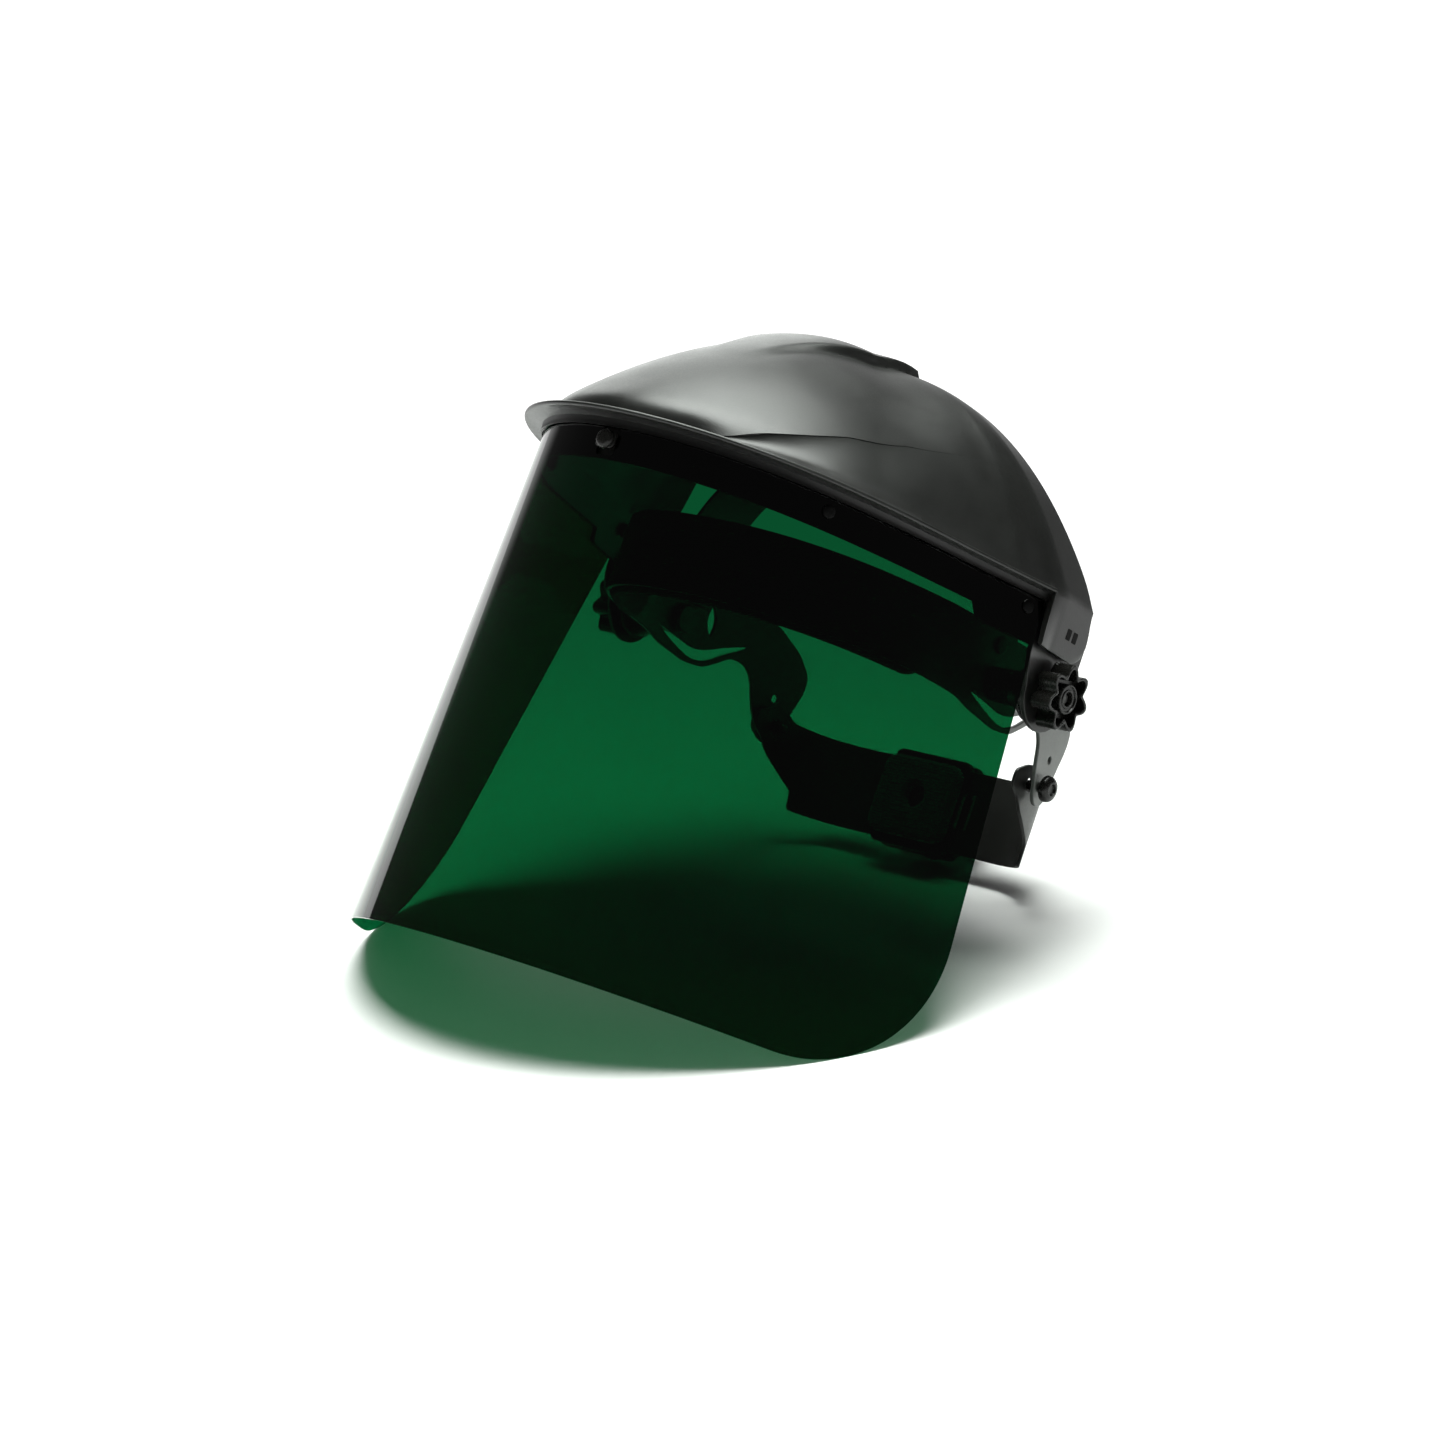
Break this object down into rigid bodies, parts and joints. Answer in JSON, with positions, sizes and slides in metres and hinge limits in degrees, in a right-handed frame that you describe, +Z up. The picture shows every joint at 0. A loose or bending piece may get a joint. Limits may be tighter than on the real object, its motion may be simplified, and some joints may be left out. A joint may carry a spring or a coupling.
{
  "type": "face shield",
  "caption": "Domed crown guard with a tinted wrap-round window on a ratchet head harness, resting on its window corners and ratchet knob.",
  "frame": {"origin": "on the floor under the middle of the object as it lies", "axes": "+X to the wearer's left, -Y the way the window faces, +Z up; the shield leans back 29.94 degrees about X from its worn position"},
  "size_m": [0.2568, 0.3224, 0.2393],
  "materials": {
    "crown_plastic": "satin moulded",
    "black_plastic": "semi-gloss moulded",
    "harness_plastic": "satin moulded",
    "strap_plastic": "satin moulded",
    "green_polycarbonate": "clear tinted sheet",
    "zinc_steel": "zinc plated",
    "brass": "knurled insert",
    "nylon": "natural",
    "black_foam": "knit over foam"
  },
  "bodies": {
    "harness": {"headband": "harness_plastic", "sweatband": "black_foam", "top_strap_left": "harness_plastic", "top_strap_right": "harness_plastic", "top_strap_peg": "black_plastic", "strap_rivet_left": "black_plastic", "strap_rivet_right": "black_plastic", "pivot_barrel_left": "black_plastic", "pivot_barrel_right": "black_plastic", "pivot_bolt_left": "zinc_steel", "pivot_bolt_right": "zinc_steel", "nape_pin_left": "black_plastic", "nape_pin_right": "black_plastic"},
    "guard": {"crown_guard": "crown_plastic", "window_rail": "crown_plastic", "window_lens": "green_polycarbonate", "side_stud_left": "black_plastic", "side_stud_right": "black_plastic", "rear_stud_left": "black_plastic", "rear_stud_right": "black_plastic", "friction_washer_left": "nylon", "friction_washer_right": "nylon"},
    "latch": {"center_latch": "black_plastic"},
    "knob_left": {"tension_knob_left": "black_plastic", "knob_insert_left": "brass"},
    "knob_right": {"tension_knob_right": "black_plastic", "knob_insert_right": "brass"},
    "nape_frame": {"ratchet_cover": "black_plastic", "ratchet_housing": "black_plastic", "ratchet_screw": "zinc_steel", "nape_pad": "black_foam", "detent_spring": "zinc_steel"},
    "dial": {"ratchet_knob": "black_plastic", "ratchet_pinion": "nylon"},
    "strap_left": {"nape_strap_left": "strap_plastic"},
    "strap_right": {"nape_strap_right": "strap_plastic"}
  },
  "joints": [
    {"name": "crown_tilt", "type": "hinge", "parent": "harness", "child": "guard", "pos_m": [0, 0.06939, 0.1073], "axis": [-1, 0, 0], "range_deg": [0, 85]},
    {"name": "latch_turn", "type": "hinge", "parent": "guard", "child": "latch", "pos_m": [0, -0.06383, 0.2146], "axis": [0, -0.8666, 0.4991], "range_deg": [0, 90]},
    {"name": "knob_turn_left", "type": "hinge", "parent": "harness", "child": "knob_left", "pos_m": [0.11, 0.06939, 0.1073], "axis": [1, 0, 0], "range_deg": [0, 540]},
    {"name": "knob_turn_right", "type": "hinge", "parent": "harness", "child": "knob_right", "pos_m": [-0.11, 0.06939, 0.1073], "axis": [-1, 0, 0], "range_deg": [0, 540]},
    {"name": "nape_tilt", "type": "hinge", "parent": "harness", "child": "nape_frame", "pos_m": [0, 0.11609, 0.05213], "axis": [1, 0, 0], "range_deg": [-12, 12]},
    {"name": "dial_turn", "type": "hinge", "parent": "nape_frame", "child": "dial", "pos_m": [0, 0.13567, 0.02701], "axis": [0, -0.8666, 0.4991], "range_deg": [0, 109]},
    {"name": "strap_slide_left", "type": "slide", "parent": "nape_frame", "child": "strap_left", "axis": [-1, 0, 0], "range_m": [0, 0.012]},
    {"name": "strap_slide_right", "type": "slide", "parent": "nape_frame", "child": "strap_right", "axis": [1, 0, 0], "range_m": [0, 0.012]}
  ],
  "couplings": [
    {"joint": "strap_slide_left", "follows": "dial_turn", "m_per_rad": 0.00625},
    {"joint": "strap_slide_right", "follows": "dial_turn", "m_per_rad": 0.00625}
  ]
}
